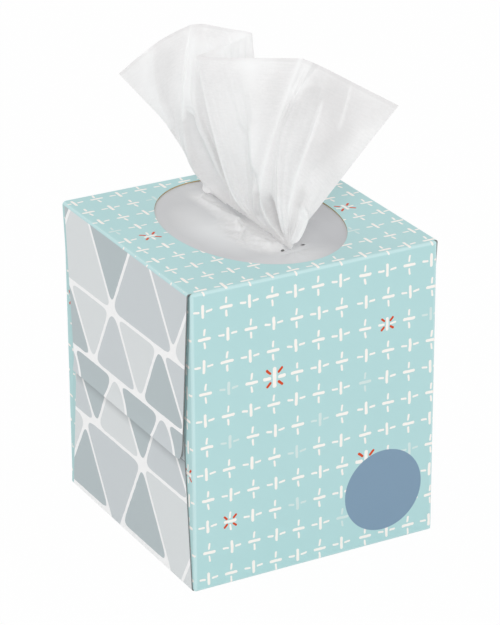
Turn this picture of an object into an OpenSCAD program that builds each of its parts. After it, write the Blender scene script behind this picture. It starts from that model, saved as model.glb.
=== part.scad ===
// Upright carton of facial tissues, with one tissue standing up out of the slit in its film.
// The origin is the centre of the carton's base. +Z is up, -Y is the front panel,
// and the glued end flaps are at -X and +X.

/* [Carton] */
// Width of the closed carton, from one end's outer flap to the other's
carton_w = 111; // [106:0.5:125]
// Depth of the carton, from front panel to back panel
carton_d = 111; // [110:0.5:125]
// Height of the carton
carton_h = 127; // [118:0.5:140]
// Thickness of the paperboard
board = 0.5; // [0.4:0.05:0.6]
// Outer radius of a fold in the board
fold_r = 1.2; // [1:0.1:1.6]
// Width of the glue flap that closes the sleeve, inside the back panel
seam_lap = 15; // [8:0.5:25]

/* [End flaps] */
// Length of the outer flap that hangs from the top panel
upper_flap = 71.8; // [55:0.1:85]
// How far the outer flap is glued over the lower flap
flap_overlap = 16.6; // [10:0.1:24]
// How far the flaps stand in from the carton's corners at their folds
flap_inset = 1.6; // [1.4:0.1:3]
// Angle at which the flaps' sides run in towards their free edges
flap_taper = 4.6; // [1:0.1:8]
// Radius at the free corners of the flaps
flap_corner = 2; // [0.5:0.1:4]
// Height of the outer flap's unglued tail
tail_h = 7; // [3:0.5:9]
// How far the unglued tail stands off the lower flap
tail_lift = 0.9; // [0.2:0.1:1.5]
// Length of the dust flaps folded in from the front and back panels
dust_flap = 40; // [20:0.5:50]

/* [Opening and film] */
// Width of the oval opening in the top panel
opening_w = 69.6; // [50:0.2:76]
// Depth of the oval opening
opening_d = 97; // [80:0.2:98]
// How far the opening's centre lies to the right of the carton's
opening_x = 1.3; // [0:0.1:2]
// Thickness of the film glued under the top panel
film_t = 0.1; // [0.06:0.02:0.2]
// Width of film that is glued down at the left and right of the opening
film_lap_w = 12; // [6:0.5:12]
// Width of film that is glued down at the front and back of the opening
film_lap_d = 5; // [3:0.5:5]
// Length of the slit that the tissues come out through
slit_l = 71; // [66:0.5:76]
// Width of the slit round the tissue
slit_w = 1.6; // [1.2:0.1:2.4]
// Length of the short cut across each end of the slit, which stops it tearing
cross_cut_l = 11; // [4:0.5:16]
// Width of that cut
cross_cut_w = 1.4; // [0.8:0.1:2]
// How far the slit lies to the right of the opening's centre
slit_shift_x = 0.2; // [0:0.1:1]
// How far the slit's middle lies behind the opening's centre
slit_shift_y = 1; // [0:0.1:3]

/* [Tissues] */
// Thickness of the folded pack
stack_t = 30; // [15:0.5:38]
// Room between the pack and the front and back panels
stack_room = 3.5; // [2:0.1:8]
// Room between the pack's ends and the end flaps
stack_side_room = 2; // [1:0.1:5]
// Room between the top of the pack and the film
crown_room = 1.4; // [0.8:0.1:4]
// Number of bundles that the pack's edge shows
bundles = 10; // [4:1:12]
// How far every second bundle stands in at its ends
bundle_step = 0.5; // [0.2:0.1:1]
// Height of the standing tissue above the top panel
tissue_rise = 76.2; // [60:0.2:90]
// Room between the tissue and each end of the slit
foot_room = 1; // [0.6:0.1:3]
// Thickness of the standing two-ply tissue, with its loft
tissue_t = 0.5; // [0.4:0.05:0.7]
// Height of the fine gathers where the tissue leaves the slit
gather_h = 0.45; // [0:0.05:0.6]

/* [Hidden] */
$fn = 64;

aqua = [0.71, 0.86, 0.865];
film_grey = [0.80, 0.81, 0.83, 0.6];
white = [0.95, 0.95, 0.95];

// Pieces that only rest on each other are this far apart
rest_gap = 0.3;
// Cutters run past what they cut, and flaps back into their panel, by this much
past = 1;

// How far a corner web lies inside the board's faces, and how far it runs into the folds
web_inset = 0.05;
web_lap = 0.2;

// The three layers at an end, from outside in: outer flap, lower flap, dust flaps
end_x = carton_w / 2;
lower_x = end_x - board;
dust_x = end_x - 2 * board;
inside_x = end_x - 3 * board;
// The sleeve ends where the dust flaps start to fold
sleeve_x = dust_x - fold_r;
lower_flap = carton_h - upper_flap + flap_overlap;

inside_top = carton_h - board;
film_bottom = inside_top - film_t;
opening_segments = 96;

// The pack is bent over into an upside-down U, so its round crown is under the film
stack_out_r = carton_d / 2 - 2 * board - stack_room;
stack_in_r = stack_out_r - stack_t;
stack_w = 2 * (inside_x - stack_side_room);
stack_foot = board + rest_gap;
stack_crown = film_bottom - crown_room;
stack_axis_z = stack_crown - stack_out_r;
bundle_t = stack_t / bundles;

// The slit runs from front to back a little right of the opening's centre
slit_x = opening_x + slit_shift_x;
slit_y = slit_shift_y;
foot_reach = slit_l / 2 - foot_room;

// The standing tissue, as strands that run up from the slit to its top edge.
// Each strand has the share of the way from the slit's middle to its end that it leaves from,
// its places at three heights on the way and at the top edge, how high its top is, and how
// round the sheet bends there: 0 is a sharp crease. Places are [right of the slit, behind its middle]
// in a tissue as tall as its tallest strand here, and they all follow tissue_rise.
strands = [
    // left free edge
    [0.97, [-5.3, 33.9], [-11.2, 32.2], [-24.5, 26.8], [-46, 21], 62.5, 1],
    [0.935, [-7.6, 31.9], [-12.8, 30.7], [-20.5, 27.3], [-30, 23], 71, 1],
    // outer ridge, floor and inner ridge of the hollow on the left
    [0.86, [-8.8, 29.6], [-13.2, 28.4], [-16.1, 25.2], [-14, 24], 76, 0.6],
    [0.64, [-2.8, 26], [-7.1, 25.8], [-14.2, 22.4], [-10.5, 23.5], 76.2, 1],
    [0.435, [-2.9, 14.7], [-6.8, 16.5], [-12.5, 21.5], [-6.5, 23.5], 75.5, 0.6],
    [0.26, [1.7, 10.3], [2.1, 13], [2.1, 18.6], [4, 21], 72.5, 1],
    // back fold, where the sheet turns back to the left
    [0.115, [3.1, 6.1], [5.9, 9.3], [10.5, 15.8], [12.5, 20], 69.8, 0.3],
    [-0.03, [-1.7, 0.8], [-2.2, 3.4], [-2, 8.6], [-2, 11.5], 70, 1],
    // front fold, where it turns to the right again
    [-0.205, [-9, -6.4], [-13.4, -5], [-17.1, -1.4], [-21.5, 3], 70.9, 0.3],
    // valley and ridge at the foot of the front panel
    [-0.36, [-5.9, -11.5], [-6.2, -10.5], [-8.2, -8.5], [-14.5, -3.5], 71.2, 1],
    [-0.45, [-8.5, -19], [-8.9, -18.5], [-6.4, -15], [-6, -10], 71.5, 0.5],
    // edge of the front panel, and the deep valley behind it
    [-0.8, [-5.8, -25.5], [-8.5, -24.2], [-1.7, -22.5], [11.3, -21], 71.7, 0.35],
    [-0.865, [2.8, -19.5], [1.6, -16], [2.5, -17.5], [13.5, -20.5], 71, 0.8],
    // ridges of the right-hand panel
    [-0.905, [-3.4, -32], [-4.6, -30.5], [0, -25], [15.5, -23.5], 70, 0.5],
    [-0.94, [-0.9, -35], [0.7, -34.5], [6.4, -33], [19, -28], 68.2, 0.5],
    [-0.965, [0.7, -37], [4.4, -37], [11.9, -37], [28, -33], 62.6, 0.8],
    // right free edge
    [-1, [3.3, -36.8], [10.4, -37.6], [25.3, -38.5], [43, -42], 53.4, 1]
];
strand_rise = len(strands[0]) - 2;
rise_scale = tissue_rise / max([for (s = strands) s[strand_rise]]);
// Heights of a strand's foot and its places, as shares of its rise
heights = [0, 0.15, 0.3, 0.6, 1];
columns_each = 5;
rows = 20;
// Rows lie closer together towards the slit
row_crowding = 1.3;
gathers = 10;

columns = columns_each * (len(strands) - 1);

function pick(list, i) = list[max(0, min(len(list) - 1, i))];

// Cubic from a to b with end slopes, and a curve through one value at each of the heights
function ease(a, b, slope_a, slope_b, t) =
    a * (2 * t * t * t - 3 * t * t + 1) + slope_a * (t * t * t - 2 * t * t + t)
    + b * (3 * t * t - 2 * t * t * t) + slope_b * (t * t * t - t * t);
function slope(places, i) =
    (pick(places, i + 1) - pick(places, i - 1)) / (pick(heights, i + 1) - pick(heights, i - 1));
function span(v) = v < heights[1] ? 0 : v < heights[2] ? 1 : v < heights[3] ? 2 : 3;
function along(places, v) =
    let (i = span(v), gap = heights[i + 1] - heights[i])
    ease(places[i], places[i + 1], slope(places, i) * gap, slope(places, i + 1) * gap,
         (v - heights[i]) / gap);

// Point of one strand at a share v of its height, from the slit's middle at the top panel
function strand_point(s, v) =
    let (foot = [0, s[0] * foot_reach],
         place = along([for (k = [0:strand_rise - 1]) k == 0 ? foot : s[k] * rise_scale], v))
    [place[0], place[1], s[strand_rise] * rise_scale * v];
function strand_side(i, v) =
    strands[i][strand_rise + 1]
    * (strand_point(pick(strands, i + 1), v) - strand_point(pick(strands, i - 1), v)) / 2;

// Fine gathers along the slit: none in it, most just above it, none at the top
function gather(v, y) =
    gather_h * min(1, v / 0.1) * max(0, 1 - v) * max(0, 1 - v)
    * sin(180 * gathers * (y - slit_y) / foot_reach);

// Middle of the sheet at a column and a share v of its height
function sheet_point(column, v) =
    let (i = min(len(strands) - 2, floor(column / columns_each)),
         t = column / columns_each - i,
         point = ease(strand_point(strands[i], v), strand_point(strands[i + 1], v),
                      strand_side(i, v), strand_side(i + 1, v), t))
    point + [slit_x, slit_y, carton_h];
function row_v(j) = pow(j / rows, row_crowding);

// Height of the pack's round crown below a place y
function crown_z(y) = stack_axis_z + sqrt(stack_out_r * stack_out_r - y * y);
function unit(v) = v / norm(v);
function grid_normal(grid, j, i) =
    unit(cross(pick(grid[j], i + 1) - pick(grid[j], i - 1),
               pick(grid, j + 1)[i] - pick(grid, j - 1)[i]));

function ellipse(w, d) =
    [for (i = [0:opening_segments - 1])
        let (a = 360 * i / opening_segments) [w / 2 * cos(a), d / 2 * sin(a)]];

// Rectangle with round corners, from plain circles and squares
module round_rect(w, d, r) {
    square([w - 2 * r, d], center = true);
    square([w, d - 2 * r], center = true);
    for (x = [-1, 1], y = [-1, 1]) {
        translate([x * (w / 2 - r), y * (d / 2 - r)]) circle(r);
    }
}

// Slot with round ends, lying along Y
module slot(l, w) {
    square([w, l - w], center = true);
    for (y = [-1, 1]) {
        translate([0, y * (l - w) / 2]) circle(w / 2);
    }
}

// Quarter of a bent board, from straight up at the right to level at the top
module quarter_fold() {
    intersection() {
        difference() {
            circle(fold_r);
            circle(fold_r - board);
        }
        square(fold_r + past);
    }
}

// Half outline of a flap that tapers from its fold at y = 0 to its free edge at y = -l
module flap_outline(width, l) {
    half = width / 2;
    end_half = half - l * tan(flap_taper);
    corner = [for (a = [0:15:90])
        [end_half - flap_corner + flap_corner * cos(a), -l + flap_corner - flap_corner * sin(a)]];
    right = concat([[half, fold_r + past], [half, 0]], corner);
    left = [for (i = [len(right) - 1:-1:0]) [-right[i][0], right[i][1]]];
    polygon(concat(right, left));
}

// Tail of the outer flap, which curves out from the face it was glued to
module flap_tail() {
    steps = 6;
    outer = [for (i = [0:steps])
        [tail_lift * pow(i / steps, 2), -tail_h * i / steps]];
    inner = [for (i = [steps:-1:0]) outer[i] - [board, 0]];
    polygon(concat(outer, inner));
}

// Sleeve of top, front, bottom and back panels, with its glue flap inside the back panel
module sleeve() {
    rotate([90, 0, 90]) linear_extrude(2 * sleeve_x, center = true) {
        translate([0, carton_h / 2]) difference() {
            round_rect(carton_d, carton_h, fold_r);
            round_rect(carton_d - 2 * board, carton_h - 2 * board, fold_r - board);
        }
        translate([carton_d / 2 - 2 * board, board]) square([board, seam_lap]);
    }
}

// Outer flap at +X: a strip of the top panel, its fold, the flap and its lifted tail
module upper_end_flap() {
    fold_y = carton_h - fold_r;
    intersection() {
        rotate([90, 0, 0]) linear_extrude(carton_d, center = true) {
            translate([sleeve_x - past, inside_top]) square([2 * board + past, board]);
            translate([end_x - fold_r, fold_y]) quarter_fold();
            translate([lower_x, carton_h - upper_flap + tail_h])
                square([board, upper_flap - tail_h - fold_r]);
            translate([end_x, carton_h - upper_flap + tail_h]) flap_tail();
        }
        translate([sleeve_x - past, 0, carton_h - fold_r]) rotate([90, 0, 90])
            linear_extrude(fold_r + 2 * board + tail_lift + 2 * past)
                flap_outline(carton_d - 2 * flap_inset, upper_flap - fold_r);
    }
}

// Lower flap at +X: it folds up from the bottom panel, inside the outer flap
module lower_end_flap() {
    intersection() {
        rotate([90, 0, 0]) linear_extrude(carton_d, center = true) {
            translate([sleeve_x - past, 0]) square([board + past, board]);
            translate([lower_x - fold_r, fold_r]) mirror([0, 1]) quarter_fold();
            translate([dust_x, fold_r]) square([board, lower_flap - fold_r]);
        }
        translate([sleeve_x - past, 0, fold_r]) mirror([0, 0, 1]) rotate([90, 0, 90])
            linear_extrude(fold_r + board + 2 * past)
                flap_outline(carton_d - 2 * flap_inset, lower_flap - fold_r);
    }
}

// Dust flap at +X, folded in from the back panel
module dust_end_flap() {
    intersection() {
        translate([0, 0, past]) linear_extrude(carton_h - 2 * past) {
            translate([sleeve_x - past, carton_d / 2 - board]) square([past, board]);
            translate([sleeve_x, carton_d / 2 - fold_r]) quarter_fold();
            translate([inside_x, carton_d / 2 - dust_flap])
                square([board, dust_flap - fold_r]);
        }
        translate([sleeve_x - past, carton_d / 2 - fold_r, carton_h / 2]) rotate([0, 90, 0])
            linear_extrude(fold_r + 2 * past)
                flap_outline(carton_h - 2 * fold_r, dust_flap - fold_r);
    }
}

// Rounded block of three crossing cylinders
module corner_block(r) {
    intersection() {
        cylinder(4 * fold_r, r = r, center = true);
        rotate([90, 0, 0]) cylinder(4 * fold_r, r = r, center = true);
        rotate([0, 90, 0]) cylinder(4 * fold_r, r = r, center = true);
    }
}

// Rounded web that closes the top corner at +X, +Y, where the folds of three panels meet.
// It is a little thinner than the board, so that its edges end inside the folds beside it.
module corner_web() {
    translate([sleeve_x, carton_d / 2 - fold_r, carton_h - fold_r]) difference() {
        intersection() {
            corner_block(fold_r - web_inset);
            translate([-1, -1, -1] * web_lap) cube(web_lap + fold_r);
        }
        corner_block(fold_r - board + web_inset);
    }
}

module end_closure() {
    upper_end_flap();
    lower_end_flap();
    for (y = [0, 1]) {
        mirror([0, y, 0]) {
            dust_end_flap();
            corner_web();
            translate([0, 0, carton_h]) mirror([0, 0, 1]) corner_web();
        }
    }
}

// One cut, folded and glued blank
module carton() {
    color(aqua) difference() {
        union() {
            sleeve();
            end_closure();
            mirror([1, 0, 0]) end_closure();
        }
        translate([opening_x, 0, inside_top - past / 2])
            linear_extrude(board + past) polygon(ellipse(opening_w, opening_d));
    }
}

// Film glued under the top panel, with a slit that ends in two short cross cuts
module window_film() {
    color(film_grey) translate([0, 0, film_bottom]) linear_extrude(film_t) difference() {
        translate([opening_x, 0])
            round_rect(opening_w + 2 * film_lap_w, opening_d + 2 * film_lap_d, 2 * fold_r);
        translate([slit_x, slit_y]) {
            slot(slit_l, slit_w);
            for (y = [-1, 1]) {
                translate([0, y * (slit_l - cross_cut_w) / 2]) rotate(90)
                    slot(cross_cut_l, cross_cut_w);
            }
        }
    }
}

// One bundle of the pack: a U whose legs end on the rake that bending gives the pack
module bundle(r, inset) {
    rise = stack_foot + PI / 2 * (r - stack_in_r);
    outer_rise = rise + PI / 2 * bundle_t;
    leg = [
        [r, rise],
        [r + bundle_t, outer_rise],
        [r + bundle_t, stack_axis_z],
        [r, stack_axis_z]
    ];
    rotate([90, 0, 90]) linear_extrude(stack_w - 2 * inset, center = true) {
        translate([0, stack_axis_z]) intersection() {
            difference() {
                circle(r + bundle_t, $fn = 96);
                circle(r, $fn = 96);
            }
            translate([-stack_out_r - past, 0]) square(2 * (stack_out_r + past));
        }
        polygon(leg);
        mirror([1, 0]) polygon(leg);
    }
}

// Pack of interfolded tissues, bent over so that it stands in an upright carton
module tissue_stack() {
    color(white) for (i = [0:bundles - 1]) {
        bundle(stack_in_r + i * bundle_t, i % 2 * bundle_step);
    }
}

// The sheet that stands up out of the slit, folded on itself in a Z
module popped_tissue() {
    risen = [for (j = [0:rows]) [for (i = [0:columns]) sheet_point(i, row_v(j))]];
    skirt = [for (p = risen[0]) [p[0], p[1], crown_z(p[1]) + rest_gap]];
    smooth = concat([skirt], risen);
    grid = [for (j = [0:rows + 1]) [for (i = [0:columns])
        smooth[j][i] + grid_normal(smooth, j, i)
            * (j == 0 ? 0 : gather(row_v(j - 1), skirt[i][1]))]];
    faces_of = columns + 1;
    count = faces_of * (rows + 2);
    front = [for (j = [0:rows + 1], i = [0:columns])
        grid[j][i] + grid_normal(grid, j, i) * tissue_t / 2];
    back = [for (j = [0:rows + 1], i = [0:columns])
        grid[j][i] - grid_normal(grid, j, i) * tissue_t / 2];
    function at(j, i) = j * faces_of + i;
    skin = [for (j = [0:rows], i = [0:columns - 1], half = [0, 1])
        half == 0 ? [at(j, i), at(j + 1, i), at(j + 1, i + 1)]
                  : [at(j, i), at(j + 1, i + 1), at(j, i + 1)]];
    under = [for (f = skin) [f[2] + count, f[1] + count, f[0] + count]];
    rim = concat(
        [for (i = [0:columns]) at(0, i)],
        [for (j = [1:rows + 1]) at(j, columns)],
        [for (i = [columns - 1:-1:0]) at(rows + 1, i)],
        [for (j = [rows:-1:1]) at(j, 0)]);
    edge = [for (k = [0:len(rim) - 1], half = [0, 1])
        let (a = rim[k], b = rim[(k + 1) % len(rim)])
        half == 0 ? [a, b, b + count] : [a, b + count, a + count]];
    color(white) polyhedron(concat(front, back), concat(skin, under, edge));
}

carton();
window_film();
tissue_stack();
popped_tissue();
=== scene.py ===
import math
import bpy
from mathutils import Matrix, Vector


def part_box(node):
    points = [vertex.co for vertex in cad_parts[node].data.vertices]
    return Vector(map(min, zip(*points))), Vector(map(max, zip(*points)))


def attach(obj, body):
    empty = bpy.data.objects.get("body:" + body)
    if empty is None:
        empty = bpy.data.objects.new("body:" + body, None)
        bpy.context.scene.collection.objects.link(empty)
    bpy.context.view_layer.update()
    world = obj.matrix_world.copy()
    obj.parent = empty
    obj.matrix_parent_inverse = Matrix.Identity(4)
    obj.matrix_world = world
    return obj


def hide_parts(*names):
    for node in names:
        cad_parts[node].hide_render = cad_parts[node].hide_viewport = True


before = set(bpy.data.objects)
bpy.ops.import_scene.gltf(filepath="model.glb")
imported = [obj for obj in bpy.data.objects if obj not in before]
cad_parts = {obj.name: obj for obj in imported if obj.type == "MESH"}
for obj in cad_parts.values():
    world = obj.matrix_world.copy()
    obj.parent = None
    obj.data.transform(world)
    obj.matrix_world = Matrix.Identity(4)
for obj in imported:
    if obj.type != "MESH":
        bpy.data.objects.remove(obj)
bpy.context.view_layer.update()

# Upright carton of facial tissues: looks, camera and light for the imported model.
# Lengths are written in millimetres and turned into metres as meshes are made.
from types import SimpleNamespace

import bpy
import numpy as np
from mathutils import Matrix, Vector

MM = 0.001


def box_mm(node):
    """A node's lowest and highest corners, in millimetres."""
    return [[round(c / MM, 2) for c in corner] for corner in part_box(node)]


# The carton: how far the outer flaps' loose tails stand off its ends, half its width and
# depth, its height, the thickness of its board and the radius of its folds
TAIL_LIFT = 0.9
HALF_W, HALF_D, HEIGHT = box_mm("carton")[1]
HALF_W -= TAIL_LIFT
BOARD, FOLD_R = 0.5, 1.2
# Outer face of the dust flaps, their inner face, and where the sleeve ends and folds start
DUST_X = HALF_W - 2 * BOARD
INSIDE_X = DUST_X - BOARD
SLEEVE_X = DUST_X - FOLD_R
# How far below the top the outer flap's free edge lies
FREE_EDGE = 71.8

# The film is glued under the top panel along bands beside the opening and at its two ends
GLUED_X, GLUED_Y = 12.0, 5.0
FILM_LOW, FILM_HIGH = box_mm("window_film")
FILM_Z = (FILM_LOW[2] + FILM_HIGH[2]) / 2
OPENING_X = (FILM_LOW[0] + FILM_HIGH[0]) / 2
OPENING_W = FILM_HIGH[0] - FILM_LOW[0] - 2 * GLUED_X
OPENING_D = FILM_HIGH[1] - FILM_LOW[1] - 2 * GLUED_Y
SLIT_X, SLIT_Y, SLIT_L = 1.5, 1.0, 71.0

# The pack is bent into an upside-down U: its half length, outer radius, thickness and axis
PACK_HALF, PACK_R, PACK_TOP = box_mm("tissue_stack")[1]
PACK_T, PACK_Z = 30.0, PACK_TOP - PACK_R


def rgb(r, g, b):
    """A screen colour as the linear colour that a shader takes."""
    def linear(c):
        c /= 255
        return c / 12.92 if c <= 0.04045 else ((c + 0.055) / 1.055) ** 2.4
    return (linear(r), linear(g), linear(b), 1.0)


# Shader arithmetic

class Num:
    """A float on a node tree, so that a pattern reads as arithmetic."""

    def __init__(self, tree, socket):
        self.tree, self.socket = tree, socket

    def __add__(self, other):
        return calc("ADD", self, other)

    __radd__ = __add__

    def __sub__(self, other):
        return calc("SUBTRACT", self, other)

    def __rsub__(self, other):
        return calc("SUBTRACT", other, self)

    def __mul__(self, other):
        return calc("MULTIPLY", self, other)

    def __truediv__(self, other):
        return calc("DIVIDE", self, other)

    def __abs__(self):
        return calc("ABSOLUTE", self)


def feed(tree, slot, value):
    """Link a Num or a socket to a slot, or set the slot to a plain value."""
    if isinstance(value, (Num, bpy.types.NodeSocket)):
        tree.links.new(getattr(value, "socket", value), slot)
    else:
        slot.default_value = value


def calc(op, *values, clamp=False):
    """A maths node on Nums and plain numbers."""
    tree = next(v.tree for v in values if isinstance(v, Num))
    node = tree.nodes.new("ShaderNodeMath")
    node.operation, node.use_clamp = op, clamp
    for slot, value in zip(node.inputs, values):
        feed(tree, slot, value)
    return Num(tree, node.outputs[0])


def low(a, b):
    return calc("MINIMUM", a, b)


def high(a, b):
    return calc("MAXIMUM", a, b)


def above(value, edge, soft):
    """0 below the edge and 1 above it, over a band as wide as soft."""
    return calc("MULTIPLY_ADD", value, 1 / soft, 0.5 - edge / soft, clamp=True)


def below(value, edge, soft):
    """1 below the edge and 0 above it."""
    return calc("MULTIPLY_ADD", value, -1 / soft, 0.5 + edge / soft, clamp=True)


def blend(a, b, share):
    """a where share is 0 and b where it is 1."""
    return calc("MULTIPLY_ADD", b - a, share, a)


def switch(where, off, on):
    """The number off where the share is 0 and the number on where it is 1."""
    return calc("MULTIPLY_ADD", where, on - off, off)


def length(a, b):
    return calc("SQRT", a * a + b * b)


def rod(across, along, half, radius):
    """Distance to a bar with round ends."""
    return length(across, high(abs(along) - (half - radius), 0.0)) - radius


class Look:
    """A node material with the parts that several finishes share."""

    def __init__(self, name):
        self.material = bpy.data.materials.new(name)
        self.material.use_nodes = True
        self.tree = self.material.node_tree
        self.shader = self.tree.nodes["Principled BSDF"]
        self.output = self.tree.nodes["Material Output"]

    def node(self, kind, **inputs):
        made = self.tree.nodes.new(kind)
        for key, value in inputs.items():
            feed(self.tree, made.inputs[key], value)
        return made

    def split(self, vector):
        made = self.node("ShaderNodeSeparateXYZ", Vector=vector)
        return [Num(self.tree, made.outputs[i]) for i in range(3)]

    def join(self, x, y, z):
        return self.node("ShaderNodeCombineXYZ", X=x, Y=y, Z=z).outputs[0]

    def place(self):
        """Object coordinates, in millimetres."""
        scaled = self.tree.nodes.new("ShaderNodeVectorMath")
        scaled.operation = "SCALE"
        scaled.inputs["Scale"].default_value = 1 / MM
        source = self.tree.nodes.new("ShaderNodeTexCoord")
        self.tree.links.new(source.outputs["Object"], scaled.inputs[0])
        return scaled.outputs[0]

    def normal(self):
        return self.tree.nodes.new("ShaderNodeNewGeometry").outputs["Normal"]

    def noise(self, vector, scale, detail=2.0, roughness=0.5):
        made = self.node("ShaderNodeTexNoise", Vector=vector, Scale=scale, Detail=detail,
                         Roughness=roughness)
        return Num(self.tree, made.outputs["Fac"])

    def mix(self, a, b, share):
        """Colour a where share is 0 and b where it is 1."""
        made = self.tree.nodes.new("ShaderNodeMix")
        made.data_type = "RGBA"
        for slot, value in ((0, share), (6, a), (7, b)):
            feed(self.tree, made.inputs[slot], value)
        return made.outputs[2]

    def bump(self, height, distance, strength):
        made = self.node("ShaderNodeBump", Height=height, Strength=strength,
                         Distance=distance * MM)
        self.tree.links.new(made.outputs[0], self.shader.inputs["Normal"])

    def set(self, **inputs):
        """Set or link the shader's own sockets, with _ for each space in their names."""
        for key, value in inputs.items():
            feed(self.tree, self.shader.inputs[key.replace("_", " ")], value)

    def overlay(self, second, share):
        """Mix this much of a second shader into the first one, and show the result."""
        mixed = self.tree.nodes.new("ShaderNodeMixShader")
        shaders = (self.shader.outputs[0], second.outputs[0])
        for slot, value in zip(mixed.inputs, (share, *shaders)):
            feed(self.tree, slot, value)
        self.tree.links.new(mixed.outputs[0], self.output.inputs["Surface"])


# Printed board

CREAM, ORANGE = rgb(252, 246, 240), rgb(212, 66, 0)
# the aqua along the folds is paler: partly whitened board, partly a painted highlight
AQUAS, AQUA_FOLD_WHITENED_AND_LIT = (rgb(179, 217, 218), rgb(184, 220, 221)), rgb(209, 236, 237)
GREYS = (rgb(183, 194, 197), rgb(205, 211, 214), rgb(222, 226, 227))
JOINT, SHADE, BADGE = rgb(252, 252, 252), rgb(96, 104, 108), rgb(127, 154, 177)
# Raw board: the opening's edge, the flaps' edges, painted shade on their sides, and the fibres in
# all of them
RAW, RAW_FLAP, RAW_SIDE_SHADE = rgb(208, 178, 118), rgb(226, 224, 222), rgb(104, 110, 113)
RAW_FIBRE = rgb(120, 104, 78)

# The badge on the front: its centre and radius
BADGE_X, BADGE_Z, BADGE_R = 31.2, 23.9, 17.7

# The stitch grid: u runs to the right from the left end, and v down the front from the top
# fold, with less than 0 on top. Row pitch and first row are for top and front.
ROW_PITCH, FIRST_ROW = (11.63, 11.44), (-2.4, 7.9)
COLUMN_PITCH, FIRST_COLUMN = 10.13, 5.6
# Odd rows are shifted, and so are the columns past the middle
ODD_SHIFT, MIDDLE_U, MIDDLE_SHIFT = 0.5, 71.9, 1.0
# From this v on, a place belongs to the front's rows
FRONT_V = 2.75
# The print lies a little askew. What makes up u, and what is added to v: a share of u, of v
# below the fold, of v above it, and a shift
ASKEW_U = (1.0098, -0.012, -0.0229, -0.31)
ASKEW_V = (0.0029, -0.0016, 0.0154, 0.12)
# So does the end flaps' print: shares of the place down and across, then a step at the
# outer flap's free edge and a shift
ASKEW_DOWN = (1.009, 0.0073, -0.56, -0.4)
ASKEW_ACROSS = (-0.0103, 1.0123, 1.47, -1.07)

# Two thin stitches: how far out they lie, half their length, their radius, how much they
# lean and where about, and the thick stitch between them; big ones lie under big stars
THIN, THICK = (2.75, 1.42, 0.45, 0.1, 2.75), (2.85, 0.62)
THIN_BIG, THICK_BIG = (3.35, 1.8, 0.72, 0.07, 3.3), (4.4, 0.8)
# Rays of a star: how far off its diagonal and how far out they lie, half their length and
# their radius, and how much closer in and shorter the small star's are on the front
RAY, RAY_BIG = (0.2, 3.2, 1.45, 0.49), (-0.12, 3.8, 1.55, 0.55)
RAY_FRONT = (0.5, 0.3)
# How wide the soft edge of the ink is, and what share of a stitch a faded cell loses
INK_EDGE, FADING = 0.16, 0.62

# Cells of the stitch grid, as (column, row); rows of the top panel count down from -1
BIG_STARS = [(3, 3), (7, 7)]
SMALL_STARS = [(8, 2), (1, 8), (1, -6), (9, -5), (-1, 6), (-1, -14)]
FADED = [(1, 3), (7, 4), (1, 5), (5, 5), (4, 6), (4, 8), (6, 9), (10, 2), (9, 7),
         (0, -7), (3, -9), (8, -3), (3, -16), (7, -19), (5, 14), (9, 17)]
# A cell's number is its column and this many times its row
CELL_STRIDE = 64.0

# Rows of the end flaps' mosaic, in millimetres from the top: each has its slanted joints,
# as places along the row at its top and bottom, and the tones from left to right:
# 0 is dark, 0.5 medium and 1 light
MOSAIC = [
    (0, 32.1, [(7.6, -13.3), (24.6, 45.4), (61.4, 43.1), (78.2, 99.3), (114.3, 95.7)],
     [0, 1, 0, 0.5, 0.55, 1]),
    (32.1, 60.8, [(4.2, 24.2), (42.3, 26.1), (47.4, 65.5), (84.2, 69.1), (87.5, 107.5)],
     [0, 1, 0.5, 1, 0, 0.55]),
    (60.8, 89.6, [(5.8, 26.2), (42.8, 27.4), (48.3, 67.8), (84.3, 69.6), (89.6, 110.3)],
     [0.5, 0, 1, 0, 0.5, 0]),
    (89.6, 125.2, [(17.8, -3.9), (14.3, 37.0), (68.0, 48.0), (68.1, 90.0), (123.8, 102.8)],
     [1, 0, 0.5, 0, 1, 1]),
]
# How round the mosaic's tiles are, within a row and at its ends, half the width of their
# joint and how wide its edge is, and how far from the base a tile may stop
TILE_ROUND, ROW_ROUND, JOINT_HALF, JOINT_EDGE, BASE_GAP = 6.0, 7.0, 0.82, 0.22, 0.2
# The grey print stops short of the flaps' tapered back edges, on the outer flap and on the lower
# one; painted shade lies in the gap along the outer flap's front edge: slopes and starts of the
# lines
BACK_EDGES, FRONT_EDGE = ((-0.072, 52.2), (0.105, 39.0)), (0.0805, -54.5)


def cells(where, listed):
    """1 in the listed cells, where the cells' numbers are given."""
    total = None
    for column, row in listed:
        here = calc("COMPARE", where, column + CELL_STRIDE * row, 0.5)
        total = here if total is None else total + here
    return total


def thin_stitch(far, off, reach, half, radius, lean, pivot):
    """Distance to the thin stitches, from how far along their line and off it a place is."""
    return rod(calc("MULTIPLY_ADD", far - pivot, lean, off), far - reach, half, radius)


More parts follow.
